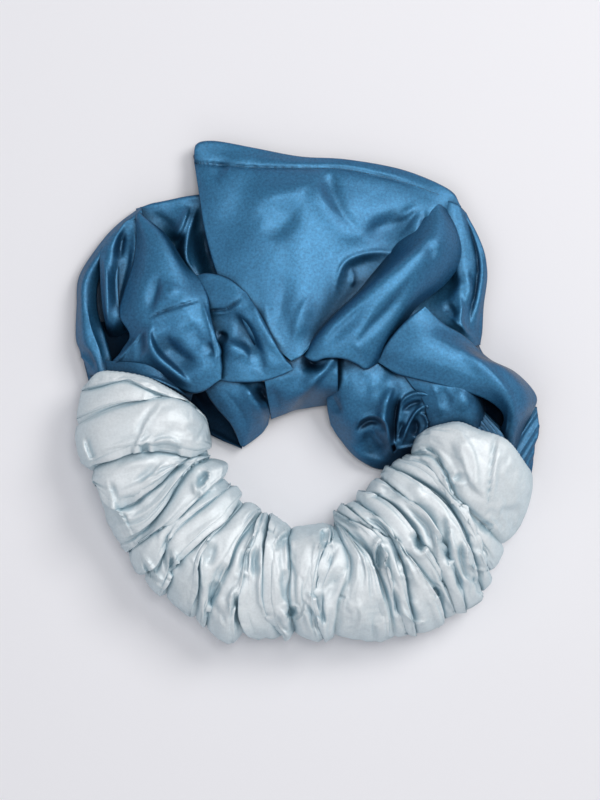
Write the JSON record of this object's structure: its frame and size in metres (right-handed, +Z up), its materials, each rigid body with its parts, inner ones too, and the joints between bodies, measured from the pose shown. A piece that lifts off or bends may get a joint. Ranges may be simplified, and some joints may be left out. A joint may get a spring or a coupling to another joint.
{
  "type": "scrunchie",
  "caption": "Oversized two-tone satin scrunchie: a gathered ice-blue casing and a wide blue flap casing, sewn end to end round one elastic loop.",
  "frame": {"origin": "middle of the footprint, on the surface the scrunchie rests on", "axes": "+Z up from the rest surface, +Y from the gathered ice casing towards the blue flap, +X to the wearer-neutral right seen from above"},
  "size_m": [0.1496, 0.1641, 0.0275],
  "materials": {
    "ice_satin": "pale ice-blue polyester satin, soft directional sheen",
    "blue_satin": "mid-blue polyester satin, soft directional sheen",
    "elastic_knit": "white braided elastic, matt",
    "ice_thread": "pale polyester sewing thread",
    "blue_thread": "blue polyester sewing thread and turned-in satin"
  },
  "bodies": {
    "front": {"ice_casing": "ice_satin", "ice_casing_seam": "ice_thread", "elastic_band": "elastic_knit"},
    "joins": {"left_join_seam": "blue_thread", "right_join_seam": "blue_thread", "elastic_lap_stitches": "ice_thread"},
    "rear": {"blue_casing": "blue_satin", "blue_edge_seam": "blue_thread"}
  },
  "joints": [
    {"name": "stretch", "type": "slide", "parent": "front", "child": "joins", "axis": [0, 1, 0], "range_m": [0, 0.05], "stiffness_N_per_m": 30, "deforming": ["elastic_band"]},
    {"name": "flap_swing", "type": "hinge", "parent": "joins", "child": "rear", "pos_m": [0, 0.004, 0.012], "axis": [1, 0, 0], "range_deg": [0, 90], "deforming": ["elastic_band"]}
  ]
}
